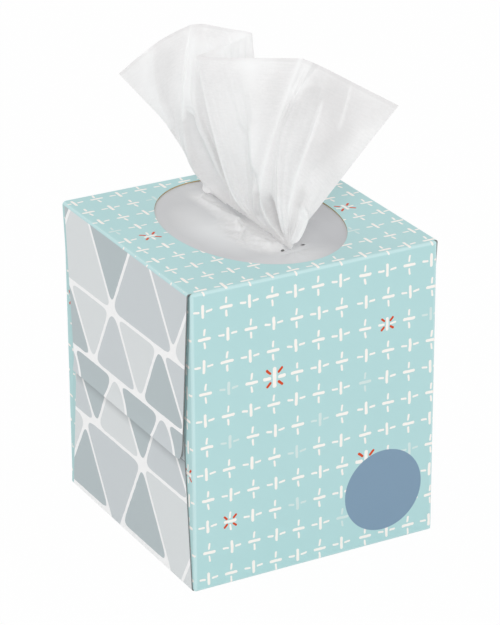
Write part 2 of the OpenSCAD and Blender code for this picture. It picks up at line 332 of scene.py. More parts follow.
def stitches(u, v):
    """How much cream and how much orange the stitch print has at u, v."""
    u = u - above(u, MIDDLE_U, 0.01) * MIDDLE_SHIFT
    on_front = above(v, FRONT_V, 0.01)
    pitch = switch(on_front, *ROW_PITCH)
    first = switch(on_front, *FIRST_ROW)
    k = calc("ROUND", (v - first) / pitch)
    down = v - first - k * pitch
    row = k + on_front - 1.0
    u = u - calc("FLOORED_MODULO", row, 2.0) * ODD_SHIFT - FIRST_COLUMN
    column = calc("ROUND", u / COLUMN_PITCH)
    right = u - column * COLUMN_PITCH
    lying = calc("FLOORED_MODULO", row + column, 2.0)
    where = calc("MULTIPLY_ADD", row, CELL_STRIDE, column)
    big, small, faded = (cells(where, listed) for listed in (BIG_STARS, SMALL_STARS, FADED))
    # places along the line of the two thin stitches, and along the thick one
    thin = blend(right, down, lying)
    thick = blend(down, right * -1.0, lying)
    far = abs(thin)
    mark = blend(low(thin_stitch(far, thick, *THIN), rod(thin, thick, *THICK)),
                 low(thin_stitch(far, thick, *THIN_BIG), rod(thin, thick, *THICK_BIG)), big)
    # the stars' rays lie along the diagonals
    x, y = abs(right), abs(down)
    diagonal = math.sqrt(0.5)
    out, side = (x + y) * diagonal, (x - y) * diagonal
    off, reach, half, radius = RAY
    closer, shorter = RAY_FRONT
    ray = rod(side - off, on_front * closer + out - reach, on_front * -shorter + half, radius)
    off, reach, half, radius = RAY_BIG
    ray = blend(ray, rod(side - off, out - reach, half, radius), big)
    cream = below(mark, 0.0, INK_EDGE)
    orange = below(ray, 0.0, INK_EDGE) * calc("ADD", big, small, clamp=True)
    return calc("MULTIPLY_ADD", faded * -FADING, cream, cream), orange


def mosaic(across, down):
    """Tone of the mosaic and how much of its pale joint shows, at a place on an end flap."""
    band = None
    for _, edge, _, _ in MOSAIC[:-1]:
        away = abs(down - edge)
        band = away if band is None else low(band, away)
    tone = joint = None
    for top, foot, lines, tones in MOSAIC:
        share = calc("MULTIPLY_ADD", down, 1 / (foot - top), -top / (foot - top))
        near, level = None, tones[0]
        for (at_top, at_foot), before, after in zip(lines, tones, tones[1:]):
            off = across - switch(share, at_top, at_foot)
            upright = 1 / math.hypot(1, (at_foot - at_top) / (foot - top))
            away = abs(off) * upright
            near = away if near is None else calc("SMOOTH_MIN", near, away, TILE_ROUND)
            if after != before:
                level = above(off, 0.0, 0.01) * (after - before) + level
        if tone is None:
            tone, joint = level, near
        else:
            past = above(down, top, 0.01)
            tone, joint = blend(tone, level, past), blend(joint, near, past)
    # the dark tiles of the last row stop short of the base, which is far off for light ones
    is_light = above(tone, 0.25, 0.01)
    to_base = high(MOSAIC[-1][1] + BASE_GAP - down, 0.0) + is_light * 20.0
    joint = calc("SMOOTH_MIN", joint, low(band, to_base), ROW_ROUND)
    return tone, below(joint, JOINT_HALF, JOINT_EDGE)


def board_place(look):
    """Where a point of the board lies and which way it faces."""
    at = SimpleNamespace(place=look.place())
    at.x, at.y, at.z = look.split(at.place)
    nx, ny, _ = look.split(look.normal())
    at.side = calc("SIGN", at.x)
    at.ax, at.ay, at.az = abs(at.x), abs(at.y), abs(at.z - HEIGHT / 2)
    at.down = HEIGHT - at.z
    at.under_edge = above(at.down, FREE_EDGE, 0.01)
    at.outward, at.sideways = nx * at.side, abs(ny)
    at.faces_out = above(at.outward, 0.2, 0.1)
    # how far the print strays here, in millimetres
    stray = look.noise(look.join(at.x * 0.35, at.y * 0.35, at.z * 0.35), 1.0, 1.0)
    at.stray = (stray - 0.5) * 0.55
    return at


def printed_share(at):
    """1 on the faces that carry print, and 0 on raw edges and inside the carton."""
    # how far inside the sleeve's outer face the point lies
    fold_y, fold_z = at.ay - (HALF_D - FOLD_R), at.az - (HEIGHT / 2 - FOLD_R)
    depth = length(high(fold_y, 0.0), high(fold_z, 0.0)) + low(high(fold_y, fold_z), 0.0) - FOLD_R
    at_end = above(at.ax, SLEEVE_X + 0.1, 0.05) * at.faces_out
    corner = above(at.ax, SLEEVE_X - 0.05, 0.02) * above(at.ay, HALF_D - FOLD_R - 0.05, 0.02)
    return high(high(above(depth, -0.12, 0.05), at_end), corner)


def flap_zones(at):
    """Shares of the flaps' grey print, of the aqua behind it, and of painted shade in the front
    gap.
    """
    flap = above(at.ax, DUST_X + BOARD / 2, 0.05) * at.faces_out * above(at.down, 1.0, 0.25)
    edge = blend(*(at.down * slope + start for slope, start in BACK_EDGES), at.under_edge)
    behind = flap * above(at.y - edge, 0.0, 0.15)
    slope, start = FRONT_EDGE
    # painted shade in the gap beside the outer flap's front edge
    gap = below(abs(at.y - at.down * slope - start), 0.6, 0.7)
    gap = gap * above(at.ax, SLEEVE_X + 0.1, 0.1) * below(at.down, FREE_EDGE, 0.6)
    gap = gap * at.faces_out * below(at.ay, HALF_D - FOLD_R, 0.3)
    return flap - behind, behind, gap


def print_place(at):
    """The place u, v on the unfolded stitch print."""
    is_end = above(at.ax, DUST_X - 0.3, 0.05) * above(at.outward, 0.5, 0.1)
    fold_in = HALF_D - at.ay + (HALF_W - 1.0)
    u = blend(at.x, at.side * fold_in, is_end) + HALF_W + at.stray
    from_middle = above(at.y, 0.0, 0.01)
    at_back = high(above(at.y, HALF_D - FOLD_R, 0.01), is_end * from_middle)
    at_base = above(at.down, HEIGHT - FOLD_R, 0.01) * below(at.ay, HALF_D - FOLD_R, 0.01)
    inward = blend(at.y + HALF_D, from_middle * (2 * HALF_D), is_end)
    v = blend(at.down, at.down * -1.0, at_back) + blend(inward * -1.0, inward, at_base)
    v = v - at.stray
    below_fold, above_fold = high(v, 0.0), low(v, 0.0)
    shares = [u * a + below_fold * b + above_fold * c + d
              for a, b, c, d in (ASKEW_U, ASKEW_V)]
    return shares[0], v + shares[1]


def aqua_colour(look, at, behind, gap):
    """The panels' print: stitches and stars on aqua, the badge, a painted highlight along the folds
    and painted shade by the flaps.
    """
    cream, orange = stitches(*print_place(at))
    aqua = look.mix(*AQUAS, look.noise(at.place, 0.03, 3.0))
    # the print is a little paler where the board is folded: partly whitened board in the
    # crease, partly a painted highlight along the fold
    by_x, by_y, by_z = (place - half + 1.0 for place, half in
                        ((at.ax, HALF_W), (at.ay, HALF_D), (at.az, HEIGHT / 2)))
    fold = high(above(low(by_y, high(by_z, by_x + 1.1)), 0.0, 0.6) * 0.6,
                above(low(by_x, by_z), 0.0, 0.6) * 0.4)
    on_badge = below(length(at.x - BADGE_X, at.z - BADGE_Z), BADGE_R, INK_EDGE)
    on_badge = on_badge * below(at.y, -HALF_D + 0.2, 0.05)
    # painted shade: a little on the aqua strip behind the flaps' back edges, more in the gap at the
    # outer flap's front edge
    for colour, share in ((AQUA_FOLD_WHITENED_AND_LIT, fold), (CREAM, cream), (ORANGE, orange),
                          (SHADE, behind * 0.08 + gap * 0.62), (BADGE, on_badge)):
        aqua = look.mix(aqua, colour, share)
    return aqua


def grey_colour(look, at):
    """The end flaps' print: the mosaic, with the shade under the outer flap's free edge."""
    across = HALF_D + at.side * at.y + at.stray * 0.6
    a, b, step, shift = ASKEW_DOWN
    down = at.down * a + across * b + at.under_edge * step + shift + at.stray * 0.6
    a, b, step, shift = ASKEW_ACROSS
    across = across * b + at.down * a + at.under_edge * step + shift
    tone, joint = mosaic(across, down)
    dark = look.mix(GREYS[0], GREYS[1], calc("MULTIPLY", tone, 2.0, clamp=True))
    grey = look.mix(dark, GREYS[2], calc("MULTIPLY_ADD", tone, 2.0, -1.0, clamp=True))
    grey = look.mix(grey, JOINT, joint)
    soft, line = below(at.down, FREE_EDGE + 2.8, 5.6), below(at.down, FREE_EDGE + 0.4, 0.35)
    shade = at.under_edge * soft * 0.36 + at.under_edge * line * 0.5
    return look.mix(grey, SHADE, shade)


def raw_colour(look, at):
    """Unprinted board: its cut edges and its inside, with painted shade on the flaps' sideways
    edges.
    """
    fibre = look.noise(look.join(at.x * 1.2, at.y * 1.2, at.z * 4.0), 1.0, 4.0, 0.65)
    on_flap = above(at.ax, INSIDE_X, 0.1)
    raw = look.mix(RAW, RAW_FLAP, on_flap)
    raw = look.mix(raw, RAW_FIBRE, fibre * 0.35)
    # painted shade on the flaps' sideways cut edges, which lie in the gaps beside the sleeve
    return look.mix(raw, RAW_SIDE_SHADE, on_flap * above(at.sideways, 0.7, 0.2) * 0.8)


def board_look():
    look = Look("printed_board_dressed")
    at = board_place(look)
    printed = printed_share(at)
    is_grey, behind, gap = flap_zones(at)
    ink = look.mix(aqua_colour(look, at, behind, gap), grey_colour(look, at), is_grey)
    grain = look.noise(at.place, 2.2, 3.0, 0.6)
    rough = calc("MULTIPLY_ADD", printed, -0.42, 0.9)
    look.set(Base_Color=look.mix(raw_colour(look, at), ink, printed),
             Roughness=rough + (grain - 0.5) * 0.08, Specular_IOR_Level=0.35)
    look.bump(grain * 0.25 + look.noise(at.place, 0.05, 1.0) * 3.0, 0.05, 0.6)
    return look.material


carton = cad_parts["carton"]
carton.data.materials.clear()
carton.data.materials.append(board_look())


# Meshes

def mesh_piece(name, points, faces, material, smooth=True):
    """A new piece from points in millimetres."""
    mesh = bpy.data.meshes.new(name)
    mesh.from_pydata((np.asarray(points) * MM).tolist(), [], [list(map(int, f)) for f in faces])
    mesh.update()
    mesh.polygons.foreach_set("use_smooth", [smooth] * len(mesh.polygons))
    mesh.materials.append(material)
    piece = bpy.data.objects.new(name, mesh)
    bpy.context.scene.collection.objects.link(piece)
    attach(piece, "root")
    return piece


def grid_faces(rows, columns):
    """Faces of a grid of points, as the numbers of their corners."""
    j, i = np.meshgrid(np.arange(rows - 1), np.arange(columns - 1), indexing="ij")
    a = (j * columns + i).ravel()
    return np.stack([a, a + 1, a + columns + 1, a + columns], axis=1)


# Standing tissue

# Nearly as in the model's source: the share of half the slit that a strand leaves from,
# its places at the heights above the slit, how high its top is, and its roundness
STRANDS = [
    (0.97, (-5.3, 33.9), (-11.2, 32.2), (-24.5, 26.8), (-46, 21), 62.5, 1),
    (0.935, (-7.6, 31.9), (-12.8, 30.7), (-20.5, 27.3), (-30, 23), 71, 1),
    (0.86, (-8.8, 29.6), (-13.2, 28.4), (-16.1, 25.2), (-14, 24), 76, 0.6),
    (0.64, (-2.8, 26), (-7.1, 25.8), (-14.2, 22.4), (-10.5, 23.5), 76.2, 1),
    (0.435, (-2.9, 14.7), (-6.8, 16.5), (-12.5, 21.5), (-6.5, 23.5), 75.5, 0.6),
    (0.26, (1.7, 10.3), (2.1, 13), (2.1, 18.6), (4, 21), 72.5, 1),
    (0.115, (3.1, 6.1), (5.9, 9.3), (10.5, 15.8), (12.5, 20), 69.8, 0.3),
    (-0.03, (-1.7, 0.8), (-2.2, 3.4), (-2, 8.6), (-2, 11.5), 70, 1),
    (-0.205, (-9, -6.4), (-13.4, -5), (-17.8, -1.6), (-21.5, 3), 70.9, 0.3),
    (-0.36, (-5.9, -11.5), (-6.2, -10.5), (-8.2, -8.5), (-14.5, -3.5), 71.2, 1),
    (-0.45, (-8.5, -19), (-8.9, -18.5), (-6.4, -15), (-6, -10), 71.5, 0.5),
    (-0.8, (-5.8, -25.5), (-8.5, -24.2), (-1.7, -22.5), (11.3, -21), 71.7, 0.35),
    (-0.865, (2.8, -19.5), (-4.3, -25.2), (-0.3, -23.3), (13.4, -22.3), 71, 0.8),
    (-0.905, (-3.4, -32), (-4.6, -30.5), (0, -25), (15.5, -23.5), 70, 0.5),
    (-0.94, (-0.9, -35), (0.7, -34.5), (6.4, -33), (19, -28), 68.2, 0.5),
    (-0.965, (0.7, -37), (4.4, -37), (11.9, -37), (28, -33), 62.6, 0.8),
    (-1, (3.3, -36.8), (10.4, -37.6), (25.3, -38.5), (43, -42), 53.4, 1),
]
# Shares of a strand's height where its places are, from the slit up
HEIGHTS = np.array([0, 0.15, 0.3, 0.6, 1])
# Rows of the sheet lie closer together near the slit, by this power
ROW_CROWDING = 1.15
COLUMNS_EACH, TISSUE_ROWS, SKIRT_ROWS = 28, 200, 8
# Width of the whole flat sheet, and how far above the pack its foot ends
SHEET_W, CROWN_GAP = 213.0, 0.35
# How far pleats may stand out at the slit, and how that grows with the height squared
SLIT_ROOM, ROOM_GROWTH = 0.04, 70
# Slack in the open part of the sheet, as waves across it and their size
SLACK = [(3.1, 0.35), (5.3, 0.22)]
# How many strands to either side a fold or patch acts on
LAYER_REACH = 2.0
# Widths of the painted highlights along a fold's crest and along a crease
CREST_WIDTH, CREASE_WIDTH = 0.75, 0.9
# How many steps between the last two rows a line runs on past the hem, for a whole share
LINE_OVER = 80
# The sheet's tones between its fibres, its hem and the hem's width, and its painted light and shade
TISSUE_TONES = (rgb(238, 237, 237), rgb(255, 254, 254))
TISSUE_HEM, HEM_W = rgb(238, 236, 236), 1.3
TISSUE_PAINTED_LIGHT, TISSUE_PAINTED_SHADE = rgb(255, 255, 255), rgb(211, 209, 209)
# Pleats as how many, how deep, how fast they fade, the share of the height they grow in, a phase
PLEATS = [(38, 1.3, 0.9, 0.08, 0.2), (15, 1.3, 0.6, 0.15, 1.1)]
# and how strong they are along the strands: faint on the panels in front
PLEATED = [0.3, 0.1, 0, 0, 0.1, 1.8, 4, 4.4, 0.3, 0.3, 0.25, 0.25, 0.3, 0.25, 0.25, 0.3, 0.3]
# Single folds: their line as (strand, share of height), how far they stand out in front or
# lie behind, their width at the line's two ends, and how sharp they are: 1 is a crease,
# 2 is round and more is flat. The last number says how strong the painted highlight along their
# crest is.
FOLDS = [
    # left flap: the edge of its pale band, a crease and two wrinkles
    ([(0.96, 1.04), (0.71, 0.84), (0.46, 0.69), (0.08, 0.5)], 1.3, (5, 4), 1.1, 0.2),
    ([(2.35, 1.04), (2.1, 0.88), (2.2, 0.72), (2.2, 0.56), (2.08, 0.46)],
     1.0, (2.2, 1.8), 1.1, 0.8),
    ([(3.7, 1.0), (3.9, 0.95), (4.3, 0.9), (4.5, 0.86)], -0.7, (1.5, 1.2), 1.8, 0.0),
    ([(4.6, 1.02), (4.9, 0.96), (5.0, 0.9)], 0.6, (1.6, 1.2), 1.8, 0.2),
    # hollow below it, and the crease that bounds the hollow
    ([(2.8, 0.56), (2.75, 0.42), (2.71, 0.3), (2.83, 0.1)], -1.7, (2.6, 3.4), 2.6, 0.0),
    ([(2.6, 0.55), (3.3, 0.5), (3.75, 0.4), (3.93, 0.27), (4.1, 0.12)], 0.9, (1.3, 1.5), 1.4, 0.6),
    # lip where the left end of the sheet flops over beside the slit
    ([(-0.3, 0.04), (0.5, 0.04), (1.4, 0.035), (2.2, 0.03)], 1.9, (1.5, 1.3), 1.5, 0.3),
    # front panel: valleys and a soft ridge that run up from the slit
    ([(8.92, 0.62), (9.6, 0.42), (10.5, 0.28), (10.3, 0.06)], -2.6, (1.8, 2.2), 1.4, 0.0),
    ([(9.92, 0.66), (10.15, 0.5), (10.4, 0.38)], 1.5, (2.4, 2.2), 1.6, 0.2),
    ([(9.3, 0.98), (9.6, 0.9), (9.5, 0.8)], 0.6, (4, 2.5), 2, 0.0),
    # right-hand panel: its long crease, a short one, and the bends next to them
    ([(14.25, 0.86), (14.25, 0.66), (13.88, 0.42), (13.79, 0.25), (13.42, 0.08)],
     1.8, (1.6, 2.4), 1.1, 0.9),
    ([(14.93, 1.0), (15.08, 0.87), (15.18, 0.74)], 0.8, (1.2, 1.2), 1.1, 0.35),
    ([(13.6, 1.04), (13.08, 0.89), (11.9, 0.78)], 1.0, (3, 2.2), 1.2, 0.2),
    ([(11.58, 0.74), (12.25, 0.84), (13.58, 0.9), (14.6, 0.91)], -0.7, (1.8, 1.8), 2, 0.0),
    ([(14.92, 0.56), (14.58, 0.34), (14.21, 0.09)], -1.5, (2.2, 2.6), 1.6, 0.0),
    # roll at the right-hand end of the foot
    ([(14.7, 0.3), (15.5, 0.22), (15.7, 0.13), (15.6, 0.02)], 2.4, (1.0, 1.5), 2, 0.5),
]
# Creases that run all the way up, as their strand and how strong the painted highlight along them
# is
CREASES = [(8, 0.6), (11, 0.65)]
# Patches of painted light and shade, partly where the sheet's layers lie together or apart
# and partly where it is lit or in shade: their line as before, their width and how strong they are
PATCHES = [
    ([(0.8, 1.0), (0.5, 0.87), (0.25, 0.69), (0.05, 0.56)], 2.8, 0.55),
    ([(1.29, 0.9), (1.17, 0.67), (1.04, 0.44)], 5.5, -0.15),
    ([(2.75, 0.92), (3.2, 0.69), (3.2, 0.57)], 1.8, 0.4),
    ([(7.0, 0.97), (6.5, 0.97)], 6.0, 1.0),
    ([(7.54, 1.0), (7.17, 0.97)], 2.0, 0.5),
    ([(3.88, 0.94), (4.4, 0.95)], 2.5, -0.35),
    ([(9.79, 0.97), (10.38, 0.97)], 4.0, 0.5),
    ([(10.1, 0.95), (10.1, 0.86)], 3.0, 0.45),
    ([(8.8, 0.85), (9.1, 0.7)], 8.0, -0.15),
    ([(10.54, 0.9), (10.6, 0.82)], 6.0, -0.15),
    ([(12.46, 0.96), (12.25, 0.83)], 2.6, 0.6),
    ([(13.42, 0.87), (13.12, 0.73)], 5.0, -0.15),
    ([(15.38, 0.92), (15.83, 0.97)], 5.0, -0.15),
    ([(15.7, 0.75), (15.7, 0.6)], 4.0, 0.2),
    ([(2.8, 0.5), (2.6, 0.38), (2.5, 0.24), (2.6, 0.12)], 3.0, -0.3),
    ([(12.0, 0.26), (12.2, 0.17), (12.3, 0.07)], 1.8, -0.4),
    ([(14.6, 0.9), (15.2, 0.76), (15.1, 0.64)], 9.0, -0.4),
    ([(10.3, 0.26), (10.2, 0.14)], 1.6, -0.5),
    ([(15.0, 0.25), (15.7, 0.16), (15.6, 0.03)], 1.2, 1.0),
    ([(14.58, 0.34), (14.0, 0.11)], 2.0, -0.35),
    ([(8.1, 0.2), (8.3, 0.12)], 1.5, 0.4),
    ([(9.2, 0.74), (9.5, 0.5)], 9.0, 0.6),
    ([(3.4, 0.86), (3.0, 0.66)], 6.0, 0.45),
    ([(5.4, 0.93), (4.4, 0.9)], 6.0, 0.4),
    ([(13.17, 0.28), (13.25, 0.14)], 1.8, 0.35),
    ([(10.08, 0.42), (10.4, 0.36)], 2.0, 0.3),
    ([(0.0, 0.05), (1.6, 0.05)], 2.0, 0.6),
]


def ease(a, b, slope_a, slope_b, t):
    """Smooth curve from a to b with the given slopes at its ends, at shares t of the way."""
    return (a * (2 * t**3 - 3 * t**2 + 1) + slope_a * (t**3 - 2 * t**2 + t)
            + b * (3 * t**2 - 2 * t**3) + slope_b * (t**3 - t**2))


def strand_points(v):
    """Points of every strand at shares v of its height, as [strand, v, xyz]."""
    reach = SLIT_L / 2 - 1
    p = np.array([[(0, s[0] * reach), *s[1:-2]] for s in STRANDS], float)
    slope = np.empty_like(p)
    slope[:, 0] = (p[:, 1] - p[:, 0]) / (HEIGHTS[1] - HEIGHTS[0])
    slope[:, -1] = (p[:, -1] - p[:, -2]) / (HEIGHTS[-1] - HEIGHTS[-2])
    slope[:, 1:-1] = (p[:, 2:] - p[:, :-2]) / (HEIGHTS[2:] - HEIGHTS[:-2])[None, :, None]
    i = np.clip(np.searchsorted(HEIGHTS, v, "right") - 1, 0, len(HEIGHTS) - 2)
    gap = HEIGHTS[i + 1] - HEIGHTS[i]
    t = ((v - HEIGHTS[i]) / gap)[None, :, None]
    gap = gap[None, :, None]
    xy = ease(p[:, i], p[:, i + 1], slope[:, i] * gap, slope[:, i + 1] * gap, t)
    z = np.array([s[-2] for s in STRANDS])[:, None] * v[None, :]
    return np.concatenate([xy, z[:, :, None]], axis=2)


def sheet_grid(v):
    """The sheet through the strands, as [v, column, xyz], in its place on the carton."""
    s = strand_points(v)
    n = len(STRANDS)
    before, after = s[np.maximum(np.arange(n) - 1, 0)], s[np.minimum(np.arange(n) + 1, n - 1)]
    side = (after - before) / 2 * np.array([q[-1] for q in STRANDS])[:, None, None]
    c = np.arange(COLUMNS_EACH * (n - 1) + 1) / COLUMNS_EACH
    i = np.minimum(c.astype(int), n - 2)
    t = (c - i)[:, None, None]
    out = ease(s[i], s[i + 1], side[i], side[i + 1], t)
    return np.transpose(out, (1, 0, 2)) + [SLIT_X, SLIT_Y, HEIGHT]


def grid_normals(grid):
    n = np.cross(np.gradient(grid, axis=1), np.gradient(grid, axis=0))
    return n / np.maximum(np.linalg.norm(n, axis=2, keepdims=True), 1e-9)


def smooth_noise(count, knots, rng):
    """A smooth random curve of count values from -1 to 1, with this many knots."""
    at = np.linspace(0, knots - 1, count)
    values = rng.uniform(-1, 1, knots + 1)
    i = at.astype(int)
    t = at - i
    t = t * t * (3 - 2 * t)
    return values[i] * (1 - t) + values[i + 1] * t


def sample(grid, c, share):
    """Point of a grid at a strand number and a share of its height."""
    i = np.clip(c * COLUMNS_EACH, 0, grid.shape[1] - 1.001)
    j = np.clip(share, 0, 1) ** (1 / ROW_CROWDING) * (grid.shape[0] - 1.001)
    a, b = int(i), int(j)
    s, t = i - a, j - b
    at = ((grid[b, a] * (1 - s) + grid[b, a + 1] * s) * (1 - t)
          + (grid[b + 1, a] * (1 - s) + grid[b + 1, a + 1] * s) * t)
    # a line may start or end a little outside the sheet
    over = share - min(max(share, 0), 1)
    return at + (grid[-1, a] - grid[-2, a]) * over * LINE_OVER


def near_line(grid, line):
    """How far each point lies from a line on the sheet, its share of the way along it,
    and 1 where it is on the line's own layer."""
    points = [sample(grid, *place) for place in line]
    strand = np.arange(grid.shape[1]) / COLUMNS_EACH
    best = np.full(grid.shape[:2], 1e9)
    share, centre = np.zeros(grid.shape[:2]), np.zeros(grid.shape[:2])
    for k in range(len(points) - 1):
        d = points[k + 1] - points[k]
        t = np.clip((grid - points[k]) @ d / (d @ d), 0, 1)
        away = np.linalg.norm(grid - points[k] - t[..., None] * d, axis=2)
        near = away < best
        best = np.where(near, away, best)
        share = np.where(near, (k + t) / (len(points) - 1), share)
        centre = np.where(near, line[k][0] + t * (line[k + 1][0] - line[k][0]), centre)
    own = np.clip((LAYER_REACH - np.abs(strand[None, :] - centre)) / 0.6, 0, 1)
    return best, share, own


def folds(grid):
    """How far the single folds push each point out, and how much painted light or shade it gets."""
    push, tone = np.zeros(grid.shape[:2]), np.zeros(grid.shape[:2])
    # painted light and shade of the patches
    for line, width, strength in PATCHES:
        away, _, own = near_line(grid, line)
        tone += strength * own * np.exp(-(away / width) ** 2)
    for line, height, (start, end), power, painted_highlight in FOLDS:
        away, share, own = near_line(grid, line)
        own = own * np.clip(np.minimum(share, 1 - share) / 0.16, 0, 1) ** 0.7
        width = start + (end - start) * share
        push += height * own * np.exp(-(away / width) ** power)
        # a painted highlight along the fold's crest
        tone += painted_highlight * own * np.exp(-(away / CREST_WIDTH) ** 2)
    row = np.linalg.norm(np.diff(grid, axis=1), axis=2)
    reach = np.concatenate([np.zeros((grid.shape[0], 1)), np.cumsum(row, axis=1)], axis=1)
    # painted highlights along the creases
    for at, painted_highlight in CREASES:
        away = reach - reach[:, [at * COLUMNS_EACH]]
        tone += painted_highlight * np.exp(-(away / CREASE_WIDTH) ** 2)
    return push, np.clip(tone, -1, 1)


def pleats(v, flat):
    """How far pleats and slack push each point out, by its height and place on the sheet."""
    rng = np.random.default_rng(7)
    push = np.zeros((len(v), len(flat)))
    # pleats that fan out of the slit and fade on the way up: they take up the sheet's width
    for waves, size, fade, rise, start in PLEATS:
        phase = 2 * math.pi * (waves * flat + 0.8 * smooth_noise(len(flat), 9, rng)) + start
        strength = 0.7 + 0.3 * smooth_noise(len(flat), 24, rng)
        lift = np.clip(0.42 + 0.58 * v / rise, 0, 1) * (1 - v) ** fade
        push += size * lift[:, None] * (strength * np.sin(phase))[None, :]
    push *= np.interp(np.arange(len(flat)) / COLUMNS_EACH, np.arange(len(PLEATED)), PLEATED)
    # their room is narrow in the slit and soon wide above it
    room = (SLIT_ROOM + ROOM_GROWTH * v ** 2)[:, None]
    push = room * np.tanh(push / room)
    for waves, size in SLACK:
        bend = np.sin(2 * math.pi * (waves * flat[None, :] + 1.3 * v[:, None]) + waves)
        push += size * np.sin(math.pi * v)[:, None] * bend
    return push


def skirt_points(foot):
    """The part below the film, from the pack's crown up to the sheet's foot."""
    crown = PACK_Z + np.sqrt(PACK_R**2 - foot[:, 1] ** 2) + CROWN_GAP
    t = (np.arange(SKIRT_ROWS) / SKIRT_ROWS)[:, None]
    skirt = np.empty((SKIRT_ROWS, len(foot), 3))
    skirt[:, :, :2] = foot[None, :, :2]
    skirt[:, :, 2] = crown[None, :] * (1 - t) + foot[None, :, 2] * t
    return skirt


def tissue_points():
    """The sheet as a grid of points, with its places on the flat sheet and its painted light and
    shade.
    """
    v = (np.arange(TISSUE_ROWS + 1) / TISSUE_ROWS) ** ROW_CROWDING
    grid = sheet_grid(v)
    # place on the flat sheet, by the length of the row a third of the way up
    row = grid[len(v) // 3]
    flat = np.concatenate([[0], np.cumsum(np.linalg.norm(np.diff(row, axis=0), axis=1))])
    flat /= flat[-1]
    # pleats are weaker along the sheet's two free edges
    calm = np.minimum(1, np.minimum(flat, 1 - flat) / 0.03 + 0.25)
    fold, tone = folds(grid)
    grid = grid + grid_normals(grid) * (pleats(v, flat) * calm[None, :] + fold)[:, :, None]
    from_hem = (1 - v)[:, None] * (grid[-1:, :, 2] - HEIGHT)
    sheet = np.stack([np.broadcast_to(flat * SHEET_W, from_hem.shape), from_hem], axis=2)
    # the skirt has the places and the painted light and shade of the sheet's foot
    more = (SKIRT_ROWS, 0)
    return (np.concatenate([skirt_points(grid[0]), grid]),
            np.pad(sheet, (more, (0, 0), (0, 0)), mode="edge"),
            np.pad(tone, (more, (0, 0)), mode="edge"))


def tissue_look(name, standing):
    """Creped paper. The standing sheet also has a hem and painted light and shade."""
    look = Look(name)
    place = look.place()
    if standing:
        source = look.tree.nodes.new("ShaderNodeUVMap")
        source.uv_map = "sheet"
        u, w, _ = look.split(source.outputs[0])
    else:
        x, y, z = look.split(place)
        u, w = x + y, z
    crepe = look.noise(look.join(u * 0.3, w * 1.5, 0.0), 1.0, 3.0, 0.7)
    cloud = look.noise(place, 0.09, 3.0, 0.6)
    fibre = look.noise(place, 1.1, 3.0, 0.65)
    light = (crepe - 0.5) * 0.8 + (cloud - 0.5) * 0.7 + (fibre - 0.5) * 0.6
    tint = look.mix(*TISSUE_TONES, calc("ADD", light, 0.5, clamp=True))
    if standing:
        tint = look.mix(tint, TISSUE_HEM, below(w, HEM_W, 0.5) * 0.6)
        # painted light and shade from the folds, creases and patches
        shown = look.tree.nodes.new("ShaderNodeAttribute")
        shown.attribute_name = "tone"
        tone = Num(look.tree, shown.outputs["Fac"])
        tint = look.mix(tint, TISSUE_PAINTED_LIGHT, calc("ADD", tone, 0.0, clamp=True))
        tint = look.mix(tint, TISSUE_PAINTED_SHADE, calc("MULTIPLY", tone, -1.0, clamp=True))
    look.set(Base_Color=tint, Roughness=0.92, Specular_IOR_Level=0.15, Sheen_Weight=0.12,
             Sheen_Roughness=0.6)
    look.bump(crepe * 0.7 + fibre * 0.6, 0.1, 0.8)
    look.overlay(look.node("ShaderNodeBsdfTranslucent", Color=tint), 0.3)
    return look.material


def tissue_piece():
    points, sheet, tone = tissue_points()
    piece = mesh_piece("standing_tissue", points.reshape(-1, 3), grid_faces(*points.shape[:2]),
                       tissue_look("standing_tissue_dressed", True))
    layer = piece.data.uv_layers.new(name="sheet")
    corners = np.empty(len(piece.data.loops), np.int32)
    piece.data.loops.foreach_get("vertex_index", corners)
    layer.data.foreach_set("uv", sheet.reshape(-1, 2)[corners].astype(np.float32).ravel())
    shown = piece.data.attributes.new("tone", "FLOAT", "POINT")
    shown.data.foreach_set("value", tone.astype(np.float32).ravel())
    return piece


tissue = tissue_piece()
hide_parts("popped_tissue")


# Pack of tissues

# How many leaves it has, how many steps their bend has, how much of its share of the
# thickness a leaf fills, and how high above the ground the innermost leaf starts
LEAVES, TURNS, LEAF_FILL, LEAF_FOOT = 30, 40, 0.86, 0.85
# How far a leaf's ends lie inside the pack's ends at the least, and how uneven they are
END_ROOM, END_UNEVEN = 0.1, 0.6


def pack_points():
    """The bent pack as thin leaves, each a bent slab with slightly uneven ends."""
    rng = np.random.default_rng(11)
    step, inner = PACK_T / LEAVES, PACK_R - PACK_T
    angles = np.linspace(0, math.pi, TURNS + 1)
    points, faces = [], []
    for k in range(LEAVES):
        r0 = inner + k * step
        r1 = r0 + step * LEAF_FILL
        # leaves further out end higher, since their bend takes up more of their length
        foot = LEAF_FOOT + math.pi / 2 * (r0 + step / 2 - inner)
        half = PACK_HALF - END_ROOM - END_UNEVEN * rng.random()
        path = [(1.0, 0.0, foot)] + [(math.cos(a), math.sin(a), None) for a in angles]
        path.append((-1.0, 0.0, foot))
        base = len(points)
        for c, s, level in path:
            for r in (r0, r1):
                z = level if level is not None else PACK_Z + r * s
                points += [(-half, r * c, z), (half, r * c, z)]
        for q in range(len(path) - 1):
            a, b = base + 4 * q, base + 4 * q + 4
            faces += [(a, a + 1, b + 1, b), (a + 2, b + 2, b + 3, a + 3),
                      (a, b, b + 2, a + 2), (a + 1, a + 3, b + 3, b + 1)]
        last = base + 4 * (len(path) - 1)
        faces += [(base, base + 2, base + 3, base + 1), (last, last + 1, last + 3, last + 2)]
    return points, faces


pack = mesh_piece("tissue_pack", *pack_points(), tissue_look("tissue_pack_dressed", False),
                  smooth=False)
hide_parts("tissue_stack")


# Film

# The two holes at the slit's near end, as place and radius
HOLES = [(-2.0, -32.3, 0.75), (7.6, -31.3, 0.8)]
